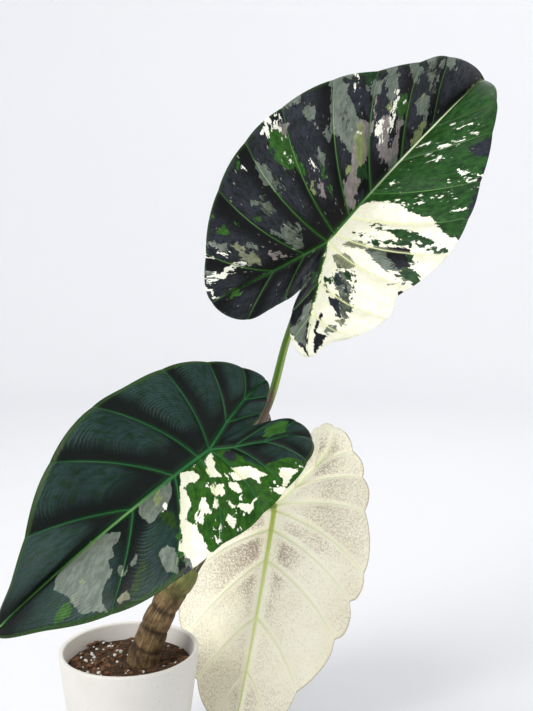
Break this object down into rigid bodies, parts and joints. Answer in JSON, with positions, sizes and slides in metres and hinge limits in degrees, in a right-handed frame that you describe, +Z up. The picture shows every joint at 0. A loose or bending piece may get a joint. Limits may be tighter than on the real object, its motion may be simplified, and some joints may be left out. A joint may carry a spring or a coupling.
{
  "type": "potted regal shields alocasia",
  "caption": "Potted aroid house plant: large variegated shield-shaped leaves on slender petioles rise from a short leaning stem in a plain tapered round pot filled with soil.",
  "frame": {"origin": "middle of the pot's flat underside", "axes": "+Z up, -Y towards the viewer of the picture, +X to the viewer's right"},
  "size_m": [0.3865, 0.3286, 0.6498],
  "materials": {
    "pot": "matte off-white ceramic",
    "soil": "damp bark and peat potting mix",
    "stem": "scarred corky stem",
    "petiole": "smooth olive green stalk",
    "leaf_variegated": "satin leaf, slate, green and cream marbling",
    "leaf_dark": "satin deep green leaf with cream flecks",
    "leaf_pale": "matte cream underside with purple-brown speckle"
  },
  "bodies": {
    "root": {"pot": "pot", "soil": "soil", "stem": "stem", "petiole_upper": "petiole", "petiole_left": "petiole", "petiole_pale": "petiole", "leaf_upper": "leaf_variegated", "leaf_left": "leaf_dark", "leaf_pale": "leaf_pale"}
  },
  "joints": []
}
